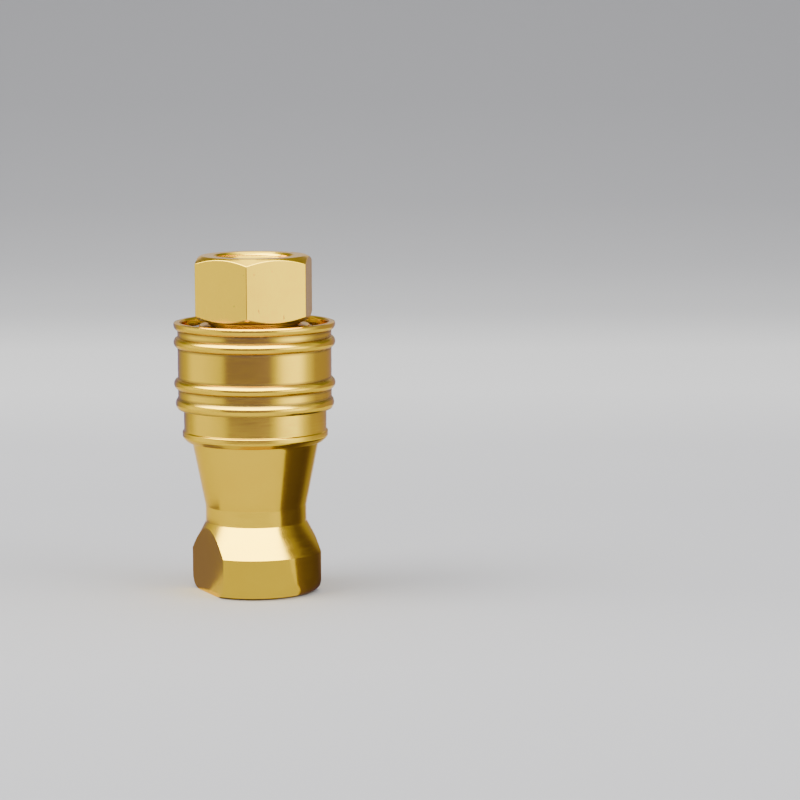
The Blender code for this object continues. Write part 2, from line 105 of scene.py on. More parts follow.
def linked(name, data):
    """A new object in the scene."""
    obj = bpy.data.objects.new(name, data)
    bpy.context.scene.collection.objects.link(obj)
    return obj


def linked_shape(name, shape):
    """A new object from a bmesh, which is then gone."""
    mesh = bpy.data.meshes.new(name)
    shape.to_mesh(mesh)
    shape.free()
    return linked(name, mesh)


def linked_sheet(name, points, faces):
    """A new object from points and faces as they are."""
    mesh = bpy.data.meshes.new(name)
    mesh.from_pydata(points, [], faces)
    return linked(name, mesh)


def closed(name, points, faces, welded=False):
    """A new closed object, with its faces turned outwards and, if asked, its touching points joined."""
    mesh = bpy.data.meshes.new(name)
    mesh.from_pydata(points, [], faces)
    shape = bmesh.new()
    shape.from_mesh(mesh)
    bpy.data.meshes.remove(mesh)
    if welded:
        bmesh.ops.remove_doubles(shape, verts=shape.verts, dist=WELD)
        bmesh.ops.dissolve_degenerate(shape, dist=WELD / 10, edges=shape.edges)
    bmesh.ops.recalc_face_normals(shape, faces=shape.faces)
    return linked_shape(name, shape)


def tube(name, rows):
    """A closed object along rows of points that each close on themselves, with a flat cap at each end."""
    width = len(rows[0])
    points = [p for row in rows for p in row]
    faces = []
    for first in range(0, len(points) - width, width):
        for k in range(width):
            a = first + k
            b = first + (k + 1) % width
            faces.append((a, b, b + width, a + width))
    faces.append(tuple(range(width)))
    faces.append(tuple(range(len(points) - width, len(points))))
    return closed(name, points, faces)


def point(r, angle, z):
    return (r * math.cos(angle), r * math.sin(angle), z)


def ring_row(angles, r, z):
    return [point(r, a, z) for a in angles]


def rounded(profile, closed=False):
    """The outline of a profile in mm with its corners rounded, as (radius, height) in metres."""
    corners = [(Vector(c[:2]), c[2] if len(c) > 2 else 0) for c in profile]
    count = len(corners)
    out = []
    for i, (here, size) in enumerate(corners):
        ends = not closed and i in (0, count - 1)
        if ends or not size:
            out.append(here)
            continue
        to_last = corners[i - 1][0] - here
        to_next = corners[(i + 1) % count][0] - here
        turn = math.pi - to_last.angle(to_next)
        cut = min(size * math.tan(turn / 2), 0.48 * to_last.length, 0.48 * to_next.length)
        size = cut / math.tan(turn / 2)
        middle = (to_last.normalized() + to_next.normalized()).normalized()
        centre = here + middle * (size / math.cos(turn / 2))
        start = here + to_last.normalized() * cut - centre
        end = here + to_next.normalized() * cut - centre
        steps = max(2, math.ceil(turn / ARC_STEP))
        for k in range(steps + 1):
            out.append(centre + start.slerp(end, k / steps) * size)
    return [(p.x * MM, p.y * MM) for p in out]


def skin(name, blocks):
    """One closed object from blocks of rows. Rows in a block are joined in order, and touching points welded.

    A row is a ring that closes on itself, unless its block is marked open.
    """
    points = []
    faces = []
    for rows, is_ring in blocks:
        first = len(points)
        width = len(rows[0])
        for row in rows:
            points.extend(row)
        for j in range(len(rows) - 1):
            low = first + j * width
            for i in range(width if is_ring else width - 1):
                k = (i + 1) % width
                faces.append((low + i, low + k, low + width + k, low + width + i))
    return closed(name, points, faces, welded=True)


def smooth(obj, sharp_above=38):
    """Smooth shading that keeps large faces flat beside their rounded edges."""
    obj.data.shade_smooth()
    obj.data.set_sharp_from_angle(angle=math.radians(sharp_above))
    weighted = obj.modifiers.new("Even shading", "WEIGHTED_NORMAL")
    weighted.keep_sharp = True
    weighted.weight = LARGE_FACE_WEIGHT


def soften(obj, width, test):
    """Breaks the sharp edges whose middle passes the test, as a deburred edge is broken."""
    shape = bmesh.new()
    shape.from_mesh(obj.data)
    weights = shape.edges.layers.float.new("bevel_weight_edge")
    for edge in shape.edges:
        middle = (edge.verts[0].co + edge.verts[1].co) / 2
        if len(edge.link_faces) == 2 and edge.calc_face_angle() > SHARP_EDGE and test(middle):
            edge[weights] = 1.0
    shape.to_mesh(obj.data)
    shape.free()
    bevel = obj.modifiers.new("Broken edges", "BEVEL")
    bevel.limit_method = "WEIGHT"
    bevel.width = width
    bevel.segments = 3
    bevel.use_clamp_overlap = True


def applied(obj):
    """The same object with its modifiers made part of its mesh."""
    graph = bpy.context.evaluated_depsgraph_get()
    mesh = bpy.data.meshes.new_from_object(obj.evaluated_get(graph))
    obj.modifiers.clear()
    obj.data = mesh
    return obj


def turned(name, profile, count=COARSE):
    """A turned piece with a bore: the outline closes on itself."""
    outline = rounded(profile, closed=True)
    outline.append(outline[0])
    angles = even_columns(count)
    return skin(name, [([ring_row(angles, r, z) for r, z in outline], True)])


def turned_solid(name, profile):
    """A turned piece with no bore: the outline starts and ends on the axis."""
    angles = even_columns(COARSE)
    return skin(name, [([ring_row(angles, r, z) for r, z in rounded(profile)], True)])


def combined(obj, others, operation):
    """Cuts or joins other closed shapes, which are then gone."""
    for other in others:
        modifier = obj.modifiers.new(operation.title(), "BOOLEAN")
        modifier.operation = operation
        modifier.object = other
    applied(obj)
    for other in others:
        bpy.data.objects.remove(other)
    return obj


def block(name, low, high, edge, turn=0.0):
    """A milled block with broken edges, in mm, turned about the axis."""
    low, high = Vector(low) * MM, Vector(high) * MM
    shape = bmesh.new()
    bmesh.ops.create_cube(shape, size=1.0)
    bmesh.ops.scale(shape, vec=high - low, verts=shape.verts)
    bmesh.ops.translate(shape, vec=(low + high) / 2, verts=shape.verts)
    bmesh.ops.bevel(shape, geom=shape.edges, offset=edge * MM, segments=3, profile=0.5, affect="EDGES")
    bmesh.ops.rotate(shape, cent=(0, 0, 0), matrix=Matrix.Rotation(turn, 3, "Z"), verts=shape.verts)
    return linked_shape(name, shape)


# ---------------------------------------------------------------- pipe thread


def thread_form():
    """One pitch of the bore's thread as (height, radius): a rounded crest, flank, rounded root and flank."""
    lean = math.pi / 2 - THREAD_FLANK
    arc = [lean * k / 2 for k in range(-2, 3)]
    crest_centre = THREAD_MINOR_R + THREAD_ROUND
    root_centre = THREAD_MAJOR_R - THREAD_ROUND
    crest = [(THREAD_ROUND * math.sin(a), crest_centre - THREAD_ROUND * math.cos(a)) for a in arc]
    root = [
        (THREAD_PITCH / 2 + THREAD_ROUND * math.sin(a), root_centre + THREAD_ROUND * math.cos(a))
        for a in arc
    ]
    return crest + root


def thread_radius(form, height):
    """The thread's radius at a height above a crest's middle."""
    height = (height + THREAD_ROUND) % THREAD_PITCH - THREAD_ROUND
    for (z0, r0), (z1, r1) in zip(form, form[1:] + [(THREAD_PITCH + form[0][0], form[0][1])]):
        if z0 <= height <= z1:
            return r0 + (r1 - r0) * (height - z0) / (z1 - z0)
    return form[0][1]


def port_blocks(angles, mouth_z, inner_z):
    """A port's bore: its countersunk mouth, and a right-hand thread down to a flat wall at inner_z.

    Rows follow the helix, and they are held between the mouth and the wall. The blocks run upwards.
    """
    form = thread_form()
    low_z, high_z = sorted((mouth_z, inner_z))
    rows = []
    turns = math.ceil((high_z - low_z) / THREAD_PITCH) + 1

    def place(angle, z):
        held = min(max(z, low_z), high_z)
        lead = THREAD_PITCH * angle / math.tau
        thread = thread_radius(form, held - low_z - lead)
        return point(max(thread, MOUTH_R - abs(held - mouth_z)), angle, held)

    around = [*angles, math.tau]
    for turn in range(-1, turns):
        for z, _ in form:
            rows.append([place(a, low_z + z + THREAD_PITCH * (turn + a / math.tau)) for a in around])
    wall = [place(a, inner_z) for a in angles]
    return rows, wall


# ---------------------------------------------------------------- materials


class Nodes:
    """A material's node tree, with short calls for the nodes used here."""

    def __init__(self, name):
        self.material = bpy.data.materials.new(name)
        self.material.use_nodes = True
        self.tree = self.material.node_tree
        self.shader = self.tree.nodes["Principled BSDF"]

    def add(self, kind, inputs=(), **settings):
        node = self.tree.nodes.new(kind)
        for key, value in settings.items():
            setattr(node, key, value)
        for key, value in dict(inputs).items():
            self.set(node, key, value)
        return node

    def set(self, node, key, value):
        if isinstance(value, bpy.types.NodeSocket):
            self.tree.links.new(value, node.inputs[key])
        else:
            node.inputs[key].default_value = value

    def math(self, operation, first, second=0.0):
        return self.add("ShaderNodeMath", {0: first, 1: second}, operation=operation).outputs[0]

    def place(self):
        return self.add("ShaderNodeTexCoord").outputs["Object"]

    def turned_place(self, along=1.0, around=1.0):
        """Coordinates that follow a lathe tool: radius and height at full scale, and the angle."""
        split = self.add("ShaderNodeSeparateXYZ", {0: self.place()})
        x, y, z = split.outputs
        square = self.math("ADD", self.math("MULTIPLY", x, x), self.math("MULTIPLY", y, y))
        radius = self.math("SQRT", square)
        angle = self.math("ARCTAN2", y, x)
        joined = self.add(
            "ShaderNodeCombineXYZ",
            {
                0: self.math("MULTIPLY", radius, along),
                1: self.math("MULTIPLY", self.math("COSINE", angle), around),
                2: self.math("MULTIPLY", z, along),
            },
        )
        return joined.outputs[0]

    def scaled(self, vector, scale):
        return self.add("ShaderNodeMapping", {"Vector": vector, "Scale": scale}).outputs[0]

    def noise(self, vector, scale, detail=2.0, roughness=0.5):
        node = self.add(
            "ShaderNodeTexNoise",
            {"Vector": vector, "Scale": scale, "Detail": detail, "Roughness": roughness},
        )
        return node.outputs["Fac"]

    def spread(self, value, low, high, from_low=0.3, from_high=0.7):
        node = self.add(
            "ShaderNodeMapRange",
            {"Value": value, "From Min": from_low, "From Max": from_high, "To Min": low, "To Max": high},
        )
        return node.outputs[0]

    def mix(self, share, first, second):
        node = self.add("ShaderNodeMix", data_type="RGBA")
        self.set(node, 0, share)
        self.set(node, 6, first)
        self.set(node, 7, second)
        return node.outputs[2]

    def ramp(self, value, stops):
        """A colour ramp from (place, colour) stops. The value is 0 at the first stop and 1 at the last."""
        first, last = stops[0][0], stops[-1][0]
        node = self.add("ShaderNodeValToRGB", {0: value})
        marks = node.color_ramp.elements
        while len(marks) < len(stops):
            marks.new(0.5)
        for mark, (place, colour) in zip(marks, stops):
            mark.position = (place - first) / (last - first)
            mark.color = (*colour, 1.0)
        return node.outputs[0]

    def bump(self, height, strength, distance, normal=None):
        node = self.add("ShaderNodeBump", {"Height": height, "Strength": strength, "Distance": distance})
        if normal is not None:
            self.set(node, "Normal", normal)
        return node.outputs[0]

    def finish(self, **values):
        for key, value in values.items():
            self.set(self.shader, key.replace("_", " "), value)
        return self.material


BRASS_TINT = (0.87, 0.575, 0.028, 1.0)
BRASS_DEEP = (0.80, 0.50, 0.022, 1.0)
# painted shade: the dark brass laid in at the foot of each sleeve ridge
BRASS_FOOT_SHADE = (0.30, 0.20, 0.04, 1.0)
BRASS_PIT = (0.18, 0.10, 0.03, 1.0)
BRASS_EDGE = (0.92, 0.75, 0.58, 1.0)  # reflected near the outline
UNDERSIDE_SHADE_TINT = (0.42, 0.30, 0.07, 1.0)  # painted shade: darker brass for the plug below its hexagon, where shade falls
UNDERSIDE_SHADE_DEEP = (0.34, 0.22, 0.04, 1.0)
VALVE_TINT = (0.76, 0.53, 0.19, 1.0)
VALVE_DEEP = (0.62, 0.40, 0.12, 1.0)
BALL_GREY = (0.60, 0.61, 0.62)
SPRING_GREY = (0.42, 0.43, 0.45)
RING_GREY = (0.35, 0.36, 0.38)
NITRILE_BLACK = (0.018, 0.018, 0.019)
PTFE_WHITE = (0.80, 0.79, 0.74)
SPECK_LEVEL = 0.74  # noise above this is a pit
RIDGE_HALF = 1.5  # mm, as the heights below
RIDGE_Z = (51.8, 57.2, 68.5, 73.25)


def painted_foot_shade(m, place, ridges, half):
    """Painted shade: 1 at the foot of each ridge, where shade falls in the crease, and 0 away from it."""
    height = m.add("ShaderNodeSeparateXYZ", {0: place}).outputs[2]
    near = None
    for z in ridges:
        off = m.math("ABSOLUTE", m.math("SUBTRACT", height, z))
        near = off if near is None else m.math("MINIMUM", near, off)
    off = m.math("ABSOLUTE", m.math("SUBTRACT", near, half))
    return m.spread(off, 1.0, 0.0, 0.15 * MM, 0.7 * MM)


def brass(name, tint, deep, roughness, lines, ridges=(), half=0.0):
    """Machined brass: a slight cloud of tone, lathe lines, and painted shade at the feet of any ridges, where
    the brass is darker and rougher.
    """
    m = Nodes(name)
    place = m.place()
    cloud = m.noise(place, 60.0, 4.0, 0.6)
    fine_cloud = m.noise(place, 900.0, 3.0, 0.6)
    groove = m.noise(m.turned_place(1.0, 0.0006), 9000.0, 2.0, 0.7)
    wide_groove = m.noise(m.turned_place(1.0, 0.0015), 2200.0, 2.0, 0.5)
    tone = m.mix(m.spread(cloud, 0.0, 0.55), tint, deep)
    tone = m.mix(m.spread(fine_cloud, 0.0, 0.12), tone, deep)
    rough = m.spread(cloud, roughness * 0.85, roughness * 1.25)
    rough = m.math("ADD", rough, m.spread(wide_groove, -0.02, 0.05))
    if ridges:
        foot_shade_share = painted_foot_shade(m, place, ridges, half)
        # painted shade: darker brass at the foot of each ridge, where the crease lies in shade
        tone = m.mix(m.math("MULTIPLY", foot_shade_share, 0.85), tone, BRASS_FOOT_SHADE)
        rough = m.math("ADD", rough, m.math("MULTIPLY", foot_shade_share, 0.12))
    relief = m.bump(groove, lines, 0.00001)
    relief = m.bump(wide_groove, lines, 0.00002, relief)
    return m.finish(Base_Color=tone, Metallic=1.0, Roughness=rough, Normal=relief, Specular_Tint=BRASS_EDGE)


def milled_brass(name, tint, deep, roughness, specks):
    """Drawn or milled brass: straight faint streaks along the axis, and a few pits."""
    m = Nodes(name)
    place = m.place()
    cloud = m.noise(place, 80.0, 4.0, 0.6)
    streak = m.noise(m.scaled(place, (1.0, 1.0, 0.04)), 5000.0, 3.0, 0.6)
    tone = m.mix(m.spread(cloud, 0.0, 0.45), tint, deep)
    spots = m.noise(m.scaled(place, (1.0, 1.0, 0.5)), 1100.0, 2.0, 0.4)
    pits = m.spread(spots, 0.0, 1.0, specks, specks + 0.03)
    tone = m.mix(m.math("MULTIPLY", pits, 0.75), tone, BRASS_PIT)
    rough = m.spread(cloud, roughness * 0.85, roughness * 1.2)
    rough = m.math("ADD", rough, m.spread(streak, -0.02, 0.06))
    relief = m.bump(streak, 0.12, 0.00001)
    relief = m.bump(m.math("SUBTRACT", 1.0, pits), 0.3, 0.00004, relief)
    return m.finish(Base_Color=tone, Metallic=1.0, Roughness=rough, Normal=relief, Specular_Tint=BRASS_EDGE)


def steel(name, colour, roughness, grain):
    """Steel wire, ring or ball, with a fine drawn grain and a little oil film."""
    m = Nodes(name)
    place = m.place()
    cloud = m.noise(place, 300.0, 3.0, 0.6)
    fine = m.noise(place, 6000.0, 2.0, 0.6)
    dark = (colour[0] * 0.7, colour[1] * 0.7, colour[2] * 0.72, 1.0)
    tone = m.mix(m.spread(cloud, 0.0, 0.7), (*colour, 1.0), dark)
    rough = m.math("ADD", m.spread(cloud, roughness * 0.8, roughness * 1.3), m.spread(fine, -0.02, 0.03))
    relief = m.bump(fine, grain, 0.00001)
    return m.finish(Base_Color=tone, Metallic=1.0, Roughness=rough, Normal=relief)


def polymer(name, colour, roughness, grain, distance):
    """Moulded rubber or turned plastic, with a fine surface grain."""
    m = Nodes(name)
    place = m.place()
    cloud = m.noise(place, 400.0, 3.0, 0.6)
    fine = m.noise(place, 4000.0, 3.0, 0.6)
    light = tuple(min(1.0, c * 1.35 + 0.004) for c in colour)
    tone = m.mix(m.spread(cloud, 0.0, 1.0), (*colour, 1.0), (*light, 1.0))
    rough = m.spread(fine, roughness - 0.06, roughness + 0.08)
    relief = m.bump(fine, grain, distance)
    return m.finish(Base_Color=tone, Metallic=0.0, Roughness=rough, Normal=relief)


ridge_heights = [z * MM for z in RIDGE_Z]
turned_brass = brass("turned_brass", BRASS_TINT, BRASS_DEEP, 0.17, 0.10)
sleeve_brass = brass("sleeve_brass", BRASS_TINT, BRASS_DEEP, 0.14, 0.10, ridge_heights, RIDGE_HALF * MM)
underside_shade_brass = brass("underside_shade_brass", UNDERSIDE_SHADE_TINT, UNDERSIDE_SHADE_DEEP, 0.3, 0.2)
valve_brass = brass("valve_brass", VALVE_TINT, VALVE_DEEP, 0.26, 0.25)
flat_brass = milled_brass("flat_brass", BRASS_TINT, BRASS_DEEP, 0.2, SPECK_LEVEL)
ball_steel = steel("ball_steel", BALL_GREY, 0.1, 0.02)
spring_steel = steel("spring_steel", SPRING_GREY, 0.3, 0.12)
ring_steel = steel("ring_steel", RING_GREY, 0.36, 0.15)
nitrile = polymer("nitrile_rubber", NITRILE_BLACK, 0.5, 0.2, 0.00003)
ptfe = polymer("ptfe", PTFE_WHITE, 0.42, 0.15, 0.00002)


# ---------------------------------------------------------------- finishing a piece


def dress(obj, material, body, slot, *nodes):
    """Gives a piece its material and its body, and hides the frame nodes that it stands for. The slot is not
    used.
    """
    obj.data.materials.append(material)
    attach(obj, body)
    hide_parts(*nodes)
    return obj


def also_material(obj, material, test):
    """Gives the faces that pass the test another material."""
    obj.data.materials.append(material)
    index = len(obj.data.materials) - 1
    for face in obj.data.polygons:
        if test(face):
            face.material_index = index


# ---------------------------------------------------------------- adapter

WRENCH_FLAT = 14.5 * MM  # from the axis to each of the two flats
ADAPTER_R = 18.15 * MM
ADAPTER_FACE_R = 15.4 * MM
ADAPTER_ROUND_Z = 3.3 * MM
SHOULDER_Z = 11.0 * MM
WAIST_R = 13.8 * MM
WAIST_Z = (19.2 * MM, 23.5 * MM)
ADAPTER_WALL_Z = (17.0 * MM, 19.0 * MM)


def adapter_columns():
    """Columns that put an upright edge exactly where each flat meets the round end."""
    edge = math.degrees(math.acos(WRENCH_FLAT / ADAPTER_R))
    breaks = (0, edge, 180 - edge, 180 + edge, 360 - edge, 360)
    return columns(breaks, (18, 54, 36, 54, 18))


def wrench_end(angles):
    """Rows down the wrench end: the shoulder cone, the wall with its flats, and the rounded lower edge."""
    reach = [min(ADAPTER_R, WRENCH_FLAT / max(abs(math.cos(a)), 1e-6)) for a in angles]
    rise = ADAPTER_R - ADAPTER_FACE_R
    tuck = [math.asin(min(max((r - ADAPTER_FACE_R) / rise, 0.0), 1.0)) for r in reach]
    rows = []

    def cone_z(r):
        return WAIST_Z[0] - (r - WAIST_R) / (ADAPTER_R - WAIST_R) * (WAIST_Z[0] - SHOULDER_Z)

    for share in (0.06, 0.35, 0.7, 1.0):
        radii = [WAIST_R + share * (r - WAIST_R) for r in reach]
        rows.append([point(r, a, cone_z(r)) for r, a in zip(radii, angles)])
    for share in (0.1, 0.35, 0.65, 0.9, 1.0):
        rows.append([
            point(r, a, cone_z(r) + share * (ADAPTER_ROUND_Z * (1 - math.cos(t)) - cone_z(r)))
            for r, a, t in zip(reach, angles, tuck)
        ])
    steps = 10
    for k in range(1, steps + 1):
        row = []
        for r, a, t in zip(reach, angles, tuck):
            here = t * (1 - k / steps)
            edge_r = min(r, ADAPTER_FACE_R + rise * math.sin(here))
            row.append(point(edge_r, a, ADAPTER_ROUND_Z * (1 - math.cos(here))))
        rows.append(row)
    return rows


def socket_adapter():
    flange = FLANGE_R / MM
    top = COLLAR_TOP_Z / MM
    outside = rounded([
        (18.0, top - 1.0),
        (18.0, top, 0.3),
        (19.45, top, 0.4),
        (19.45, 44.35, 0.15),
        (flange, 44.1, 0.3),
        (flange, 42.6, 0.9),
        (18.6, 41.3, 0.5),
        (17.4, 41.2, 0.2),
        (17.2, 40.7, 0.3),
        (13.8, 23.5, 1.5),
        (13.8, 19.2, 0.15),
        (13.97, 18.88),  # a point on the shoulder cone, whose rows are made by wrench_end
    ])
    inside = rounded([
        (10.6, 17.0),
        (10.6, 19.0, 0.3),
        (9.5, 19.0, 0.3),
        (9.5, 23.5, 0.5),
        (12.0, 27.5, 0.5),
        (12.0, 37.0, 0.2),
        (13.5, 37.0, 0.2),
        (13.5, 48.3, 0.3),
        (15.5, 48.3, 0.3),
        (15.5, 47.0, 0.2),
        (18.0, 47.0, 0.2),
        (18.0, top - 1.0),
    ])
    angles = adapter_columns()
    outer_rows = [ring_row(angles, r, z) for r, z in outside[:-1]] + wrench_end(angles)
    outer_rows.append(ring_row(angles, MOUTH_R + MOUTH_EDGE, 0.0))
    outer_rows.append(ring_row(angles, MOUTH_R, 0.0))
    thread_rows, wall = port_blocks(angles, 0.0, ADAPTER_WALL_Z[0])
    inner_rows = [wall] + [ring_row(angles, r, z) for r, z in inside]
    obj = skin("adapter", [(outer_rows, True), (thread_rows, False), (inner_rows, True)])

    def on_wrench_end(p):
        radius = math.hypot(p.x, p.y)
        return 0.01 * MM < p.z < WAIST_Z[0] - 0.5 * MM and radius > ADAPTER_FACE_R - 1.4 * MM

    def on_flat(face):
        return abs(face.normal.x) > 0.999 and abs(face.center.x) > 0.95 * WRENCH_FLAT

    soften(obj, 0.14 * MM, on_wrench_end)
    smooth(obj)
    dress(obj, turned_brass, "socket", "turned_brass", "socket_adapter")
    also_material(obj, flat_brass, on_flat)


# ---------------------------------------------------------------- barrel and sleeve

BALL_COUNT = 8
BALL_R = 2.35 * MM
BALL_CENTRE_R = 12.85 * MM
BALL_Z = sum(corner.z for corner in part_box("locking_ball_1")) / 2
DRILL_R = (2.42 * MM, 2.6 * MM)
DRILL_LENGTH = 8 * MM
DRILL_R_OUT = BALL_CENTRE_R + 0.6 * MM  # from the axis to the drill's middle


def ball_drill(name, turn):
    """A tapered cutter for a ball's hole, along the radius. It narrows inwards, to hold the ball."""
    shape = bmesh.new()
    inner_r, outer_r = DRILL_R
    bmesh.ops.create_cone(
        shape, cap_ends=True, segments=48, radius1=inner_r, radius2=outer_r, depth=DRILL_LENGTH
    )
    lie = Matrix.Translation((DRILL_R_OUT, 0, BALL_Z)) @ Matrix.Rotation(math.pi / 2, 4, "Y")
    shape.transform(Matrix.Rotation(turn, 4, "Z") @ lie)
    return linked_shape(name, shape)


def socket_barrel():
    low, high = barrel_low.z / MM, barrel_high.z / MM
    obj = turned(
        "barrel",
        [
            (12.05, high - 1.0, 0.3),
            (12.9, high, 0.2),
            (15.0, high, 0.35),
            (15.0, 72.3, 0.08),
            (13.9, 72.3, 0.1),
            (13.9, 70.55, 0.1),
            (15.0, 70.55, 0.08),
            (15.0, 54.0, 0.2),
            (15.6, 53.4, 0.2),
            (15.6, 48.6, 0.2),
            (13.2, 48.6, 0.1),
            (13.2, 47.9, 0.1),
            (11.9, 47.9, 0.1),
            (11.9, 45.9, 0.1),
            (13.2, 45.9, 0.1),
            (13.2, low, 0.4),
            (11.0, low, 0.2),
            (11.0, 42.0, 0.4),
            (7.0, 46.0, 0.4),
            (7.0, 48.0, 0.3),
            (12.05, 48.0, 0.4),
            (12.05, 55.6, 0.1),
            (14.0, 55.6, 0.15),
            (14.0, 59.4, 0.15),
            (12.05, 59.4, 0.1),
        ],
        FINE,
    )
    drills = [ball_drill(f"drill_{i}", math.tau * i / BALL_COUNT) for i in range(BALL_COUNT)]
    combined(obj, drills, "DIFFERENCE")
    smooth(obj, 30)
    dress(obj, turned_brass, "socket", "turned_brass", "socket_barrel")


SLEEVE_BODY_R = 20.95  # mm


def grip_ridge(z, crest, ends=(-1.0, 1.0)):
    """A half-round grip ridge, from its upper foot to its lower one, or the part of it between the ends."""
    rise = crest - SLEEVE_BODY_R
    radius = (RIDGE_HALF**2 + rise**2) / (2 * rise)
    reach = math.asin(RIDGE_HALF / radius)
    steps = 14
    turns = [reach * (ends[1] + (ends[0] - ends[1]) * k / steps) for k in range(steps + 1)]
    return [(crest - radius + radius * math.cos(t), z + radius * math.sin(t)) for t in turns]


def release_sleeve():
    low, high = sleeve_low.z / MM, sleeve_high.z / MM
    crest = SLEEVE_R / MM
    obj = turned(
        "sleeve",
        [
            (20.1, high - 0.6, 0.3),
            (20.4, high, 0.2),
            (21.35, high, 0.2),
            *grip_ridge(RIDGE_Z[3], crest, (-1.0, 0.3)),
            *grip_ridge(RIDGE_Z[2], crest),
            *grip_ridge(RIDGE_Z[1], crest),
            *grip_ridge(RIDGE_Z[0], crest - 0.4, (-0.7, 1.0)),
            (21.0, low, 0.2),
            (20.2, low, 0.25),
            (19.8, low + 0.5, 0.2),
            (19.8, 61.0, 0.3),
            (15.5, 61.0, 0.3),
            (15.5, BALL_Z / MM, 1.0),
            (17.3, 69.9, 1.0),
            (17.3, 70.5, 0.15),
            (20.1, 70.5, 0.3),
        ],
        FINE,
    )
    smooth(obj)
    dress(obj, sleeve_brass, "sleeve", "sleeve_brass", "release_sleeve")


def locking_balls():
    """Ground steel balls, one for each hole."""
    for i in range(1, BALL_COUNT + 1):
        low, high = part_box(f"locking_ball_{i}")
        centre = (low + high) / 2
        angle = math.atan2(centre.y, centre.x)
        shape = bmesh.new()
        bmesh.ops.create_icosphere(shape, subdivisions=4, radius=BALL_R)
        ball = linked_shape(f"ball_{i}", shape)
        ball.data.shade_smooth()
        ball.location = point(BALL_CENTRE_R, angle, BALL_Z)
        dress(ball, ball_steel, f"ball_{i}", "ball_steel", f"locking_ball_{i}")


# ---------------------------------------------------------------- springs, rings and seals


def coil_spring(name, node, coil_r, wire_r, turns, below, above):
    """A compression spring with closed ends ground flat, spanning its frame node. The bodies at its lower and
    upper ends are not used.
    """
    per_turn = 40
    sides = 16
    low, high = (corner.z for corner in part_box(node))
    start = low + 0.55 * wire_r
    end = high - 0.55 * wire_r
    end_pitch = 2.02 * wire_r
    pitch = (end - start - 2 * end_pitch) / (turns - 2)
    rows = []
    for i in range(round(turns * per_turn) + 1):
        turn = i / per_turn
        closed_turns = min(turn, 1.0) + max(0.0, turn - (turns - 1.0))
        z = start + closed_turns * end_pitch + (turn - closed_turns) * pitch
        row = []
        for k in range(sides):
            across = math.tau * k / sides
            ground = min(max(z + wire_r * math.sin(across), low), high)
            row.append(point(coil_r + wire_r * math.cos(across), math.tau * turn, ground))
        rows.append(row)
    obj = tube(name, rows)
    obj.data.materials.append(spring_steel)
    obj.data.shade_smooth()
    obj.data.set_sharp_from_angle(angle=math.radians(50))
    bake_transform(obj)
    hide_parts(node)


def springs():
    """Each spring: coil radius and wire radius, turns, and the bodies at its lower and upper ends."""
    sleeve = (17.0 * MM, 0.7 * MM, 5, "socket", "sleeve")
    socket_valve = (6.6 * MM, 0.6 * MM, 3.5, "socket", "socket_valve")
    plug_valve = (5.6 * MM, 0.5 * MM, 5, "plug_valve", "plug")
    coil_spring("sleeve_coil", "sleeve_spring", *sleeve)
    coil_spring("socket_valve_coil", "socket_poppet_spring", *socket_valve)
    coil_spring("plug_valve_coil", "plug_poppet_spring", *plug_valve)


def split_ring(name, radii, heights, open_deg, body, node):
    """A flat split ring with rounded edges, with its radii and heights in mm."""
    edge = 0.2
    steps = 120
    inner, outer = radii
    low, high = heights
    corners = [(inner, low, edge), (outer, low, edge), (outer, high, edge), (inner, high, edge)]
    section = rounded(corners, closed=True)
    gap = math.radians(open_deg)
    rows = []
    for i in range(steps + 1):
        angle = gap / 2 + (math.tau - gap) * i / steps
        rows.append([point(r, angle, z) for r, z in section])
    obj = tube(name, rows)
    smooth(obj, 40)
    dress(obj, ring_steel, body, "ring_steel", node)


def o_ring(name, body, node, section_r):
    """A moulded O-ring with the faint parting line that its mould leaves inside and out."""
    flash = 0.03  # of the section's radius
    low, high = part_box(node)
    middle_z = (low.z + high.z) / 2
    ring_r = high.x - section_r
    outline = []
    sides = 28
    for k in range(sides):
        across = math.tau * k / sides
        on_parting_line = k % (sides // 2) == 0
        out = section_r * (1 + flash) if on_parting_line else section_r
        outline.append((ring_r + out * math.cos(across), middle_z - out * math.sin(across)))
    outline.append(outline[0])
    angles = even_columns(COARSE)
    obj = skin(name, [([ring_row(angles, r, z) for r, z in outline], True)])
    smooth(obj, 60)
    dress(obj, nitrile, body, "nitrile_rubber", node)


def seals_and_rings():
    split_ring("stop_ring", (14.2, 18.3), (70.85, 72.0), 14, "socket", "sleeve_stop_ring")
    split_ring("guide_snap_ring", (7.4, 9.1), (71.5, 72.5), 50, "plug", "plug_guide_snap_ring")
    o_ring("plug_seal", "socket", "plug_seal_o_ring", 0.85 * MM)
    o_ring("joint_seal", "socket", "body_joint_o_ring", 0.62 * MM)
    o_ring("socket_valve_seal", "socket_valve", "socket_poppet_seal", 0.6 * MM)
    o_ring("plug_valve_seal", "plug_valve", "plug_poppet_seal", 0.5 * MM)
    low, high = (corner.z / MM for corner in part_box("plug_seal_backup_ring"))
    backup = turned(
        "backup_ring",
        [(12.15, high, 0.12), (13.7, high, 0.12), (13.7, low, 0.12), (12.15, low, 0.12)],
    )
    smooth(backup)
    dress(backup, ptfe, "socket", "ptfe", "plug_seal_backup_ring")


# ---------------------------------------------------------------- plug

PLUG_WALL_Z = 77.0 * MM
HEX_FACE_R = 14.3 * MM
HEX_LOW_Z = 74.3 * MM


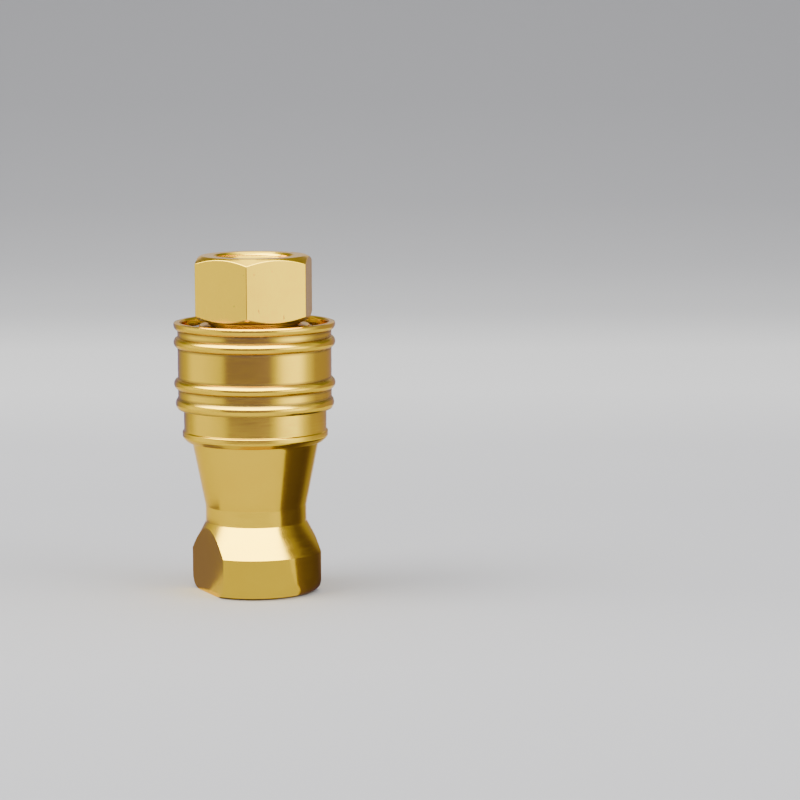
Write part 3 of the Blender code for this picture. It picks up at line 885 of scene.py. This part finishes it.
def hexagon_rows(angles):
    """Rows down the hexagon, with a 30 degree turned chamfer at each end that leaves an arc on every flat."""
    sixth = math.pi / 3
    reach = [HEX_FLAT / math.cos((a % sixth) - sixth / 2) for a in angles]
    fall = [(r - HEX_FACE_R) * math.tan(math.pi / 6) for r in reach]
    rows = []
    for share in (0.0, 0.5, 1.0):
        rows.append([
            point(HEX_FACE_R + share * (r - HEX_FACE_R), a, TOP_Z - share * f)
            for r, a, f in zip(reach, angles, fall)
        ])
    for share in (0.05, 0.3, 0.7, 0.95, 1.0):
        rows.append([
            point(r, a, TOP_Z - f + share * (HEX_LOW_Z - TOP_Z + 2 * f))
            for r, a, f in zip(reach, angles, fall)
        ])
    for share in (0.5, 0.0):
        rows.append([
            point(HEX_FACE_R + share * (r - HEX_FACE_R), a, HEX_LOW_Z + share * f)
            for r, a, f in zip(reach, angles, fall)
        ])
    return rows


def plug_body():
    below = rounded([
        (14.3, 74.3),
        (12.6, 74.3, 0.2),
        (12.6, 73.7, 0.2),
        (11.75, 73.7, 0.15),
        (11.75, 67.05, 0.3),
        (10.2, 65.5, 0.8),
        (10.2, 63.5, 0.8),
        (11.75, 61.95, 0.3),
        (11.75, 50.0, 0.5),
        (10.6, NOSE_TIP_Z / MM, 0.4),
        (6.0, NOSE_TIP_Z / MM, 0.3),
        (6.0, 50.5, 0.3),
        (8.6, 53.1, 0.4),
        (8.6, 71.3, 0.1),
        (9.3, 71.3, 0.1),
        (9.3, 72.7, 0.1),
        (8.6, 72.7, 0.1),
        (8.6, 75.0, 0.2),
        (10.6, 75.0, 0.3),
        (10.6, 77.0),
    ])
    angles = even_columns(FINE)
    thread_rows, wall = port_blocks(angles, TOP_Z, PLUG_WALL_Z)
    outer_rows = [ring_row(angles, MOUTH_R, TOP_Z), ring_row(angles, MOUTH_R + MOUTH_EDGE, TOP_Z)]
    outer_rows += hexagon_rows(angles)
    outer_rows += [ring_row(angles, r, z) for r, z in below[1:]] + [wall]
    obj = skin("plug", [(outer_rows, True), (thread_rows, False)])

    def on_hexagon(p):
        return p.z > HEX_LOW_Z - 0.1 * MM and math.hypot(p.x, p.y) > HEX_FACE_R - 0.2 * MM

    def on_flat(face):
        upright = abs(face.normal.z) < 0.1
        return upright and face.center.z > HEX_LOW_Z and math.hypot(*face.center.xy) > HEX_FACE_R

    def underneath(face):
        chamfer = face.center.z < HEX_LOW_Z + 1.2 * MM and face.normal.z < -0.3
        return chamfer or face.center.z < HEX_LOW_Z

    soften(obj, 0.13 * MM, on_hexagon)
    smooth(obj)
    dress(obj, turned_brass, "plug", "turned_brass", "plug_body")
    also_material(obj, flat_brass, on_flat)
    # painted shade: the plug below its hexagon, under the hexagon and inside the sleeve, is darker brass
    also_material(obj, underside_shade_brass, underneath)


# ---------------------------------------------------------------- valves


def valves():
    low, high = (corner.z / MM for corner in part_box("socket_poppet"))
    poppet = turned_solid(
        "socket_valve",
        [
            (0, high),
            (3.0, high, 0.4),
            (3.0, 43.1, 0.6),
            (5.0, 44.1, 0.4),
            (6.2, 42.9, 0.1),
            (6.2, 41.0, 0.1),
            (8.1, 41.0, 0.15),
            (9.0, 40.1, 0.3),
            (9.0, 38.6, 0.3),
            (3.0, 38.6, 0.4),
            (3.0, low, 0.4),
            (0, low),
        ],
    )
    smooth(poppet)
    dress(poppet, valve_brass, "socket_valve", "valve_brass", "socket_poppet")
    low, high = (corner.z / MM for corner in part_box("plug_poppet"))
    poppet = turned_solid(
        "plug_valve",
        [
            (0, high),
            (2.5, high, 0.4),
            (2.5, 57.0, 0.4),
            (7.2, 57.0, 0.3),
            (7.2, 55.6, 0.3),
            (6.1, 54.5, 0.15),
            (4.5, 54.5, 0.1),
            (4.5, 52.9, 0.1),
            (3.0, 51.4, 0.6),
            (3.0, low, 0.4),
            (0, low),
        ],
    )
    smooth(poppet)
    dress(poppet, valve_brass, "plug_valve", "valve_brass", "plug_poppet")


def socket_guide():
    """The cage that carries the socket valve's stem."""
    cage = turned(
        "socket_valve_guide",
        [(11.0, 39.8, 0.2), (13.2, 39.8, 0.25), (13.2, 37.3, 0.25), (11.0, 37.3, 0.2)],
    )
    hub = turned("hub", [(3.3, 36.3, 0.3), (5.2, 36.3, 0.4), (5.2, 27.5, 0.4), (3.3, 27.5, 0.3)])
    arms = []
    for i in range(4):
        turn = math.tau * (i + 0.5) / 4
        arms.append(block(f"leg_{i}", (9.7, -1.7, 28.0), (11.5, 1.7, 39.3), 0.3, turn))
        arms.append(block(f"arm_{i}", (4.7, -1.3, 28.3), (10.2, 1.3, 30.2), 0.3, turn))
    combined(cage, [*arms, hub], "UNION")
    smooth(cage, 30)
    dress(cage, valve_brass, "socket", "valve_brass", "socket_poppet_guide")


def plug_guide():
    """The spider that carries the plug valve's stem."""
    spider = turned(
        "plug_valve_guide",
        [(6.9, 71.0, 0.2), (8.3, 71.0, 0.25), (8.3, 68.3, 0.25), (6.9, 68.3, 0.2)],
    )
    hub = turned("spider_hub", [(2.8, 71.0, 0.3), (4.4, 71.0, 0.35), (4.4, 59.3, 0.35), (2.8, 59.3, 0.3)])
    arms = []
    for i in range(3):
        arms.append(block(f"spider_arm_{i}", (4.0, -1.3, 68.7), (7.3, 1.3, 70.6), 0.25, math.tau * i / 3))
    combined(spider, [*arms, hub], "UNION")
    smooth(spider, 30)
    dress(spider, valve_brass, "plug", "valve_brass", "plug_poppet_guide")


# ---------------------------------------------------------------- studio

VIEW_TURN = math.radians(-26.2)  # the camera looks at the coupler from this side of -Y
VIEW_PITCH = math.radians(-7.53)
CAMERA_ROLL = math.radians(-0.2)
CAMERA_PLACE = (1.798, -35.30, 7.038)  # in the sleeve's radii
CAMERA_LENS = 129.1

# Painted light and shade on the paper: its grey by its distance behind the coupler plus its height, in metres
SWEEP_LIGHT_FALLOFF = (
    (-0.20, 0.52), (-0.10, 0.53), (0.0, 0.49), (0.15, 0.515), (0.27, 0.58), (0.42, 0.76), (0.58, 0.83),
    (0.81, 0.65), (0.90, 0.535), (1.02, 0.435), (1.19, 0.38), (1.40, 0.36),
)

# Tints of dark reflections. Brass takes most of the blue away, so they are blue to come out brown.
PLAIN = (1.0, 1.0, 1.0)
DAWN = (0.95, 0.95, 2.5)
DUSK = (1.0, 0.80, 5.0)
LATE = (1.0, 0.88, 2.0)
LATER = (1.0, 0.9, 1.6)
SHADE = (1.0, 0.75, 2.2)
FLAT_SHADE = (1.0, 0.86, 9.0)

# Cards that only reflections show. Each has a name, its brightest tone, its profile as (radius, height) in
# metres, and its tones as (degrees to the right of the camera, brightness) or (degrees, brightness, tint).
CARDS = (
    (
        "room",
        4.0,
        ((0.27, 0.0), (0.33, 0.14)),
        (
            (-165, 0.32, DAWN), (-150, 0.36, DAWN), (-118, 0.75), (-100, 1.45), (-80, 1.45), (-60, 1.2),
            (-47, 1.0), (-38, 0.28, DUSK), (0, 0.28, DUSK), (24, 0.34, DUSK), (33, 0.95), (46, 2.6),
            (58, 3.1), (70, 3.1), (85, 1.2), (102, 0.5, LATE), (165, 0.45, LATER),
        ),
    ),
    ("behind", 1.0, ((0.33, 0.0), (0.33, 0.10)), ((160, 0.42), (200, 0.42))),
    ("horizon", 1.0, ((0.33, 0.11), (0.33, 0.19)), ((150, 0.9), (210, 0.9))),
    (
        "overhead",
        14.0,
        ((0.34, 0.20), (0.14, 0.42)),
        ((-98, 5.0), (-82, 12.0), (56, 12.0), (64, 4.0), (72, 1.0), (97, 0.5)),
    ),
    (
        "neighbour",
        1.0,
        ((0.0165, 0.0001), (0.021, 0.003), (0.033, 0.036)),
        ((46, 0.2, SHADE), (58, 0.12, SHADE), (85, 0.09, SHADE), (96, 0.13, SHADE), (110, 0.4), (130, 0.5)),
    ),
    (
        "left_flag",
        1.0,
        ((0.0165, 0.0001), (0.033, 0.0155)),
        ((-130, 0.27, FLAT_SHADE), (-74, 0.27, FLAT_SHADE)),
    ),
    ("front_flag", 1.0, ((0.0165, 0.0001), (0.033, 0.0115)), ((-73, 0.9), (44, 0.9))),
)

studio = linked("studio", None)
studio.rotation_euler.z = VIEW_TURN


def sweep_profile():
    """The paper's (distance behind the coupler, height): level, then a quarter circle, then upright."""
    curve_y, curve_r, near_y, top_z = 0.75, 0.6, -3.0, 2.5
    steps = 24
    profile = [(near_y, 0.0), (curve_y, 0.0)]
    for k in range(1, steps + 1):
        turn = math.pi / 2 * k / steps
        profile.append((curve_y + curve_r * math.sin(turn), curve_r * (1 - math.cos(turn))))
    profile.append((curve_y + curve_r, top_z))
    return profile


def sweep():
    """A pale paper sweep: a level floor that curves up far behind, with painted light and shade that grey it
    gently on the way.
    """
    half_width = 3.0
    profile = sweep_profile()
    points = [(x, y, z) for y, z in profile for x in (-half_width, half_width)]
    faces = [(i, i + 1, i + 3, i + 2) for i in range(0, 2 * len(profile) - 2, 2)]
    obj = linked_sheet("sweep", points, faces)
    obj.data.shade_smooth()
    obj.parent = studio
    obj.location.z = -0.02 * MM
    m = Nodes("sweep")
    _, y, z = m.add("ShaderNodeSeparateXYZ", {0: m.place()}).outputs
    depth = m.spread(m.math("ADD", y, z), 0.0, 1.0, SWEEP_LIGHT_FALLOFF[0][0], SWEEP_LIGHT_FALLOFF[-1][0])
    # painted light and shade: the ramp lightens and darkens the paper as the lamps' falloff would
    tone = m.ramp(depth, [(at, (grey, grey, grey * (1.07 - grey * 0.1))) for at, grey in SWEEP_LIGHT_FALLOFF])
    obj.data.materials.append(m.finish(Base_Color=tone, Roughness=0.9))
    m.shader.inputs["Specular IOR Level"].default_value = 0.05


def around(degrees, distance, height):
    """A place in the studio: degrees to the right of the camera, and the distance from the coupler's axis."""
    turn = math.radians(degrees)
    return (distance * math.sin(turn), -distance * math.cos(turn), height)


def card_glow(name, strength, tones):
    """A glow that changes from tone to tone with the angle round the coupler."""
    stops = []
    for degrees, bright, *tint in tones:
        colour = [min(1.0, bright * c / strength) for c in (tint[0] if tint else PLAIN)]
        stops.append((degrees, colour))
    start, end = math.radians(tones[0][0]), math.radians(tones[-1][0])
    m = Nodes(name)
    x, y, _ = m.add("ShaderNodeSeparateXYZ", {0: m.place()}).outputs
    azimuth = m.math("ARCTAN2", x, m.math("MULTIPLY", y, -1.0))
    share = m.spread(azimuth, 0.0, 1.0, start, end)
    glow = m.add("ShaderNodeEmission", {"Color": m.ramp(share, stops), "Strength": strength})
    m.tree.links.new(glow.outputs[0], m.tree.nodes["Material Output"].inputs[0])
    return m.material


def reflected_card(name, strength, profile, tones):
    """A curved card round the coupler: a soft box where it is bright, and a flag where it is dark."""
    start, end = tones[0][0], tones[-1][0]
    steps = 48
    points = []
    for i in range(steps + 1):
        degrees = start + (end - start) * i / steps
        points += [around(degrees, *corner) for corner in profile]
    width = len(profile)
    faces = []
    for i in range(steps):
        for k in range(i * width, (i + 1) * width - 1):
            faces.append((k, k + width, k + width + 1, k + 1))
    obj = linked_sheet(name, points, faces)
    obj.parent = studio
    obj.data.materials.append(card_glow(name, strength, tones))
    obj.visible_camera = False
    obj.visible_diffuse = False
    obj.visible_shadow = False
    obj.visible_transmission = False


def soft_light(name, place, size, energy):
    """A square area light aimed at the coupler's middle."""
    light = bpy.data.lights.new(name, "AREA")
    light.shape = "RECTANGLE"
    light.size = size
    light.size_y = size
    light.energy = energy
    obj = linked(name, light)
    obj.parent = studio
    obj.location = place
    aim = Vector((0, 0, 0.045))
    obj.rotation_euler = (aim - Vector(place)).to_track_quat("-Z", "Y").to_euler()


def surroundings():
    world = bpy.data.worlds.new("surroundings")
    bpy.context.scene.world = world
    world.use_nodes = True
    back = world.node_tree.nodes["Background"]
    back.inputs["Color"].default_value = (1.0, 1.0, 1.02, 1.0)
    back.inputs["Strength"].default_value = 0.8


def lights():
    soft_light("key", (-0.55, -0.15, 0.75), 0.5, 7.0)
    soft_light("fill", (0.6, -0.3, 0.6), 0.5, 4.0)
    soft_light("top", (0.0, 0.05, 0.9), 0.8, 7.0)
    for card in CARDS:
        reflected_card(*card)


def camera():
    data = bpy.data.cameras.new("camera")
    data.sensor_width = 36.0
    data.lens = CAMERA_LENS
    data.clip_start = 0.05
    data.clip_end = 50.0
    obj = linked("camera", data)
    turn = Matrix.Rotation(VIEW_TURN, 3, "Z")
    obj.location = turn @ (Vector(CAMERA_PLACE) * SLEEVE_R)
    aim = turn @ Matrix.Rotation(math.pi / 2 + VIEW_PITCH, 3, "X")
    obj.rotation_euler = (aim @ Matrix.Rotation(CAMERA_ROLL, 3, "Z")).to_euler()
    bpy.context.scene.camera = obj


camera()
sweep()
surroundings()
lights()
socket_adapter()
socket_barrel()
release_sleeve()
locking_balls()
springs()
seals_and_rings()
plug_body()
valves()
socket_guide()
plug_guide()
